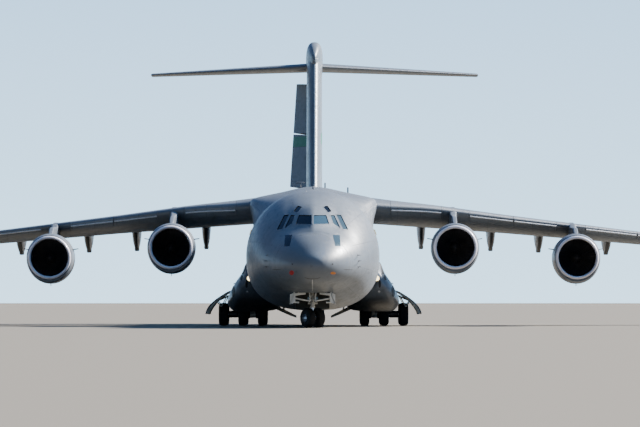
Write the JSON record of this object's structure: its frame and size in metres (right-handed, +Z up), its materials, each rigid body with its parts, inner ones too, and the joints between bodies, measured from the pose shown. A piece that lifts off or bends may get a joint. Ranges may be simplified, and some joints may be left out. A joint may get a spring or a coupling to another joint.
{
  "type": "military transport plane, 1:2 scale model",
  "caption": "High-wing military transport plane, 1:2 scale model, with a T-tail, turbofans under the wing, a hollow hold, a rear ramp and landing gear down",
  "frame": {"origin": "centre of the bounding box, on the ground under the wheels", "axes": "+X to the aircraft's left side, +Y aft from the nose, +Z up"},
  "size_m": [25.938, 26.52, 8.375],
  "materials": {
    "airframe_paint": "satin mid-grey paint on aluminium skin",
    "radome_paint": "satin darker grey paint",
    "windscreen": "dark tinted glazing",
    "gear_paint": "gloss off-white paint",
    "tyre_rubber": "matt black rubber",
    "engine_metal": "heat-stained metal",
    "fan_metal": "dark satin metal"
  },
  "bodies": {
    "airframe": {"radome": "radome_paint", "forward_fuselage": "airframe_paint", "centre_fuselage": "airframe_paint", "aft_fuselage": "airframe_paint", "cockpit_glass": "windscreen", "wing_fairing": "airframe_paint", "fin": "airframe_paint", "tailplane": "airframe_paint", "nose_leg": "gear_paint", "wing_left": "airframe_paint", "winglet_left": "airframe_paint", "pod_left": "airframe_paint", "main_door_outer_left": "airframe_paint", "main_door_inner_left": "airframe_paint", "nose_door_left": "gear_paint", "nacelle_inner_left": "airframe_paint", "nacelle_outer_left": "airframe_paint", "engine_inner_left": "engine_metal", "engine_outer_left": "engine_metal", "pylon_inner_left": "airframe_paint", "pylon_outer_left": "airframe_paint", "main_leg_front_left": "gear_paint", "main_leg_rear_left": "gear_paint", "wing_right": "airframe_paint", "winglet_right": "airframe_paint", "pod_right": "airframe_paint", "main_door_outer_right": "airframe_paint", "main_door_inner_right": "airframe_paint", "nose_door_right": "gear_paint", "nacelle_inner_right": "airframe_paint", "nacelle_outer_right": "airframe_paint", "engine_inner_right": "engine_metal", "engine_outer_right": "engine_metal", "pylon_inner_right": "airframe_paint", "pylon_outer_right": "airframe_paint", "main_leg_front_right": "gear_paint", "main_leg_rear_right": "gear_paint"},
    "steered_leg": {"nose_fork": "gear_paint"},
    "nose_wheel_pair": {"nose_wheels": "tyre_rubber"},
    "main_wheel_set_front_left": {"main_wheels_front_left": "tyre_rubber"},
    "main_wheel_set_rear_left": {"main_wheels_rear_left": "tyre_rubber"},
    "main_wheel_set_front_right": {"main_wheels_front_right": "tyre_rubber"},
    "main_wheel_set_rear_right": {"main_wheels_rear_right": "tyre_rubber"},
    "fan_rotor_inner_left": {"fan_inner_left": "fan_metal"},
    "fan_rotor_outer_left": {"fan_outer_left": "fan_metal"},
    "fan_rotor_inner_right": {"fan_inner_right": "fan_metal"},
    "fan_rotor_outer_right": {"fan_outer_right": "fan_metal"},
    "lower_rudder": {"rudder_lower": "airframe_paint"},
    "upper_rudder": {"rudder_upper": "airframe_paint"},
    "elevator_panel_left": {"elevator_left": "airframe_paint"},
    "elevator_panel_right": {"elevator_right": "airframe_paint"},
    "aileron_panel_left": {"aileron_left": "airframe_paint"},
    "aileron_panel_right": {"aileron_right": "airframe_paint"},
    "flap_panel_inboard_left": {"flap_inboard_left": "airframe_paint"},
    "flap_panel_outboard_left": {"flap_outboard_left": "airframe_paint"},
    "flap_panel_inboard_right": {"flap_inboard_right": "airframe_paint"},
    "flap_panel_outboard_right": {"flap_outboard_right": "airframe_paint"},
    "ramp": {"cargo_ramp": "airframe_paint"},
    "rear_door": {"cargo_door": "airframe_paint"},
    "entry_door": {"crew_door": "airframe_paint"}
  },
  "joints": [
    {"name": "nose_steering", "type": "hinge", "parent": "airframe", "child": "steered_leg", "pos_m": [0, -10.235, 0.5], "axis": [0, 0, 1], "range_deg": [-100, 30]},
    {"name": "nose_wheel_spin", "type": "hinge", "parent": "steered_leg", "child": "nose_wheel_pair", "pos_m": [0, -10.235, 0.25087], "axis": [0.8192, 0.5736, 0], "continuous": true},
    {"name": "main_wheels_front_left_spin", "type": "hinge", "parent": "airframe", "child": "main_wheel_set_front_left", "pos_m": [1.6675, -0.86, 0.31359], "axis": [1, 0, 0], "continuous": true},
    {"name": "main_wheels_rear_left_spin", "type": "hinge", "parent": "airframe", "child": "main_wheel_set_rear_left", "pos_m": [1.6675, 0.39, 0.31359], "axis": [1, 0, 0], "continuous": true},
    {"name": "main_wheels_front_right_spin", "type": "hinge", "parent": "airframe", "child": "main_wheel_set_front_right", "pos_m": [-1.6675, -0.86, 0.31359], "axis": [1, 0, 0], "continuous": true},
    {"name": "main_wheels_rear_right_spin", "type": "hinge", "parent": "airframe", "child": "main_wheel_set_rear_right", "pos_m": [-1.6675, 0.39, 0.31359], "axis": [1, 0, 0], "continuous": true},
    {"name": "fan_inner_left_spin", "type": "hinge", "parent": "airframe", "child": "fan_rotor_inner_left", "pos_m": [3.775, -4.81, 2.1], "axis": [0, 1, 0], "continuous": true},
    {"name": "fan_outer_left_spin", "type": "hinge", "parent": "airframe", "child": "fan_rotor_outer_left", "pos_m": [7.1, -3.01, 1.845], "axis": [0, 1, 0], "continuous": true},
    {"name": "fan_inner_right_spin", "type": "hinge", "parent": "airframe", "child": "fan_rotor_inner_right", "pos_m": [-3.775, -4.81, 2.1], "axis": [0, 1, 0], "continuous": true},
    {"name": "fan_outer_right_spin", "type": "hinge", "parent": "airframe", "child": "fan_rotor_outer_right", "pos_m": [-7.1, -3.01, 1.845], "axis": [0, 1, 0], "continuous": true},
    {"name": "rudder_lower_hinge", "type": "hinge", "parent": "airframe", "child": "lower_rudder", "pos_m": [0, 8.65142, 3.95], "axis": [0, 0.4606, 0.8876], "range_deg": [-74, 0]},
    {"name": "rudder_upper_hinge", "type": "hinge", "parent": "airframe", "child": "upper_rudder", "pos_m": [0, 8.65142, 3.95], "axis": [0, 0.4606, 0.8876], "range_deg": [-74, 0]},
    {"name": "elevator_left_hinge", "type": "hinge", "parent": "airframe", "child": "elevator_panel_left", "pos_m": [0.31, 11.30735, 7.6178], "axis": [0.9447, 0.3271, -0.0219], "range_deg": [-15, 25]},
    {"name": "elevator_right_hinge", "type": "hinge", "parent": "airframe", "child": "elevator_panel_right", "pos_m": [-0.31, 11.30735, 7.6178], "axis": [0.9447, -0.3271, 0.0219], "range_deg": [-15, 25]},
    {"name": "aileron_left_hinge", "type": "hinge", "parent": "airframe", "child": "aileron_panel_left", "pos_m": [9.25, 2.15622, 2.39546], "axis": [0.9481, 0.3051, -0.0899], "range_deg": [-25, 25]},
    {"name": "aileron_right_hinge", "type": "hinge", "parent": "airframe", "child": "aileron_panel_right", "pos_m": [-9.25, 2.15622, 2.39546], "axis": [0.9481, -0.3051, 0.0899], "range_deg": [-25, 25]},
    {"name": "flap_inboard_left_hinge", "type": "hinge", "parent": "airframe", "child": "flap_panel_inboard_left", "pos_m": [2.04, 0.23983, 2.19962], "axis": [-0.9801, -0.1967, 0.0251], "range_deg": [0, 40]},
    {"name": "flap_outboard_left_hinge", "type": "hinge", "parent": "airframe", "child": "flap_panel_outboard_left", "pos_m": [5.54, 0.9623, 2.10616], "axis": [-0.9516, -0.3062, 0.0265], "range_deg": [0, 40]},
    {"name": "flap_inboard_right_hinge", "type": "hinge", "parent": "airframe", "child": "flap_panel_inboard_right", "pos_m": [-2.04, 0.23983, 2.19962], "axis": [-0.9801, 0.1967, -0.0251], "range_deg": [0, 40]},
    {"name": "flap_outboard_right_hinge", "type": "hinge", "parent": "airframe", "child": "flap_panel_outboard_right", "pos_m": [-5.54, 0.9623, 2.10616], "axis": [-0.9516, 0.3062, -0.0265], "range_deg": [0, 40]},
    {"name": "cargo_ramp_hinge", "type": "hinge", "parent": "airframe", "child": "ramp", "pos_m": [0, 2.905, 0.465], "axis": [-1, 0, 0], "range_deg": [0, 21]},
    {"name": "cargo_door_hinge", "type": "hinge", "parent": "airframe", "child": "rear_door", "pos_m": [0, 9.04, 2.19], "axis": [-1, 0, 0], "range_deg": [0, 19]},
    {"name": "crew_door_hinge", "type": "hinge", "parent": "airframe", "child": "entry_door", "pos_m": [1.43072, -9.235, 0.84], "axis": [0, 1, 0], "range_deg": [0, 120]}
  ],
  "couplings": [
    {"joint": "aileron_right_hinge", "follows": "aileron_left_hinge", "ratio": -1},
    {"joint": "elevator_right_hinge", "follows": "elevator_left_hinge", "ratio": 1},
    {"joint": "flap_outboard_left_hinge", "follows": "flap_inboard_left_hinge", "ratio": 1},
    {"joint": "flap_inboard_right_hinge", "follows": "flap_inboard_left_hinge", "ratio": 1},
    {"joint": "flap_outboard_right_hinge", "follows": "flap_inboard_left_hinge", "ratio": 1}
  ]
}
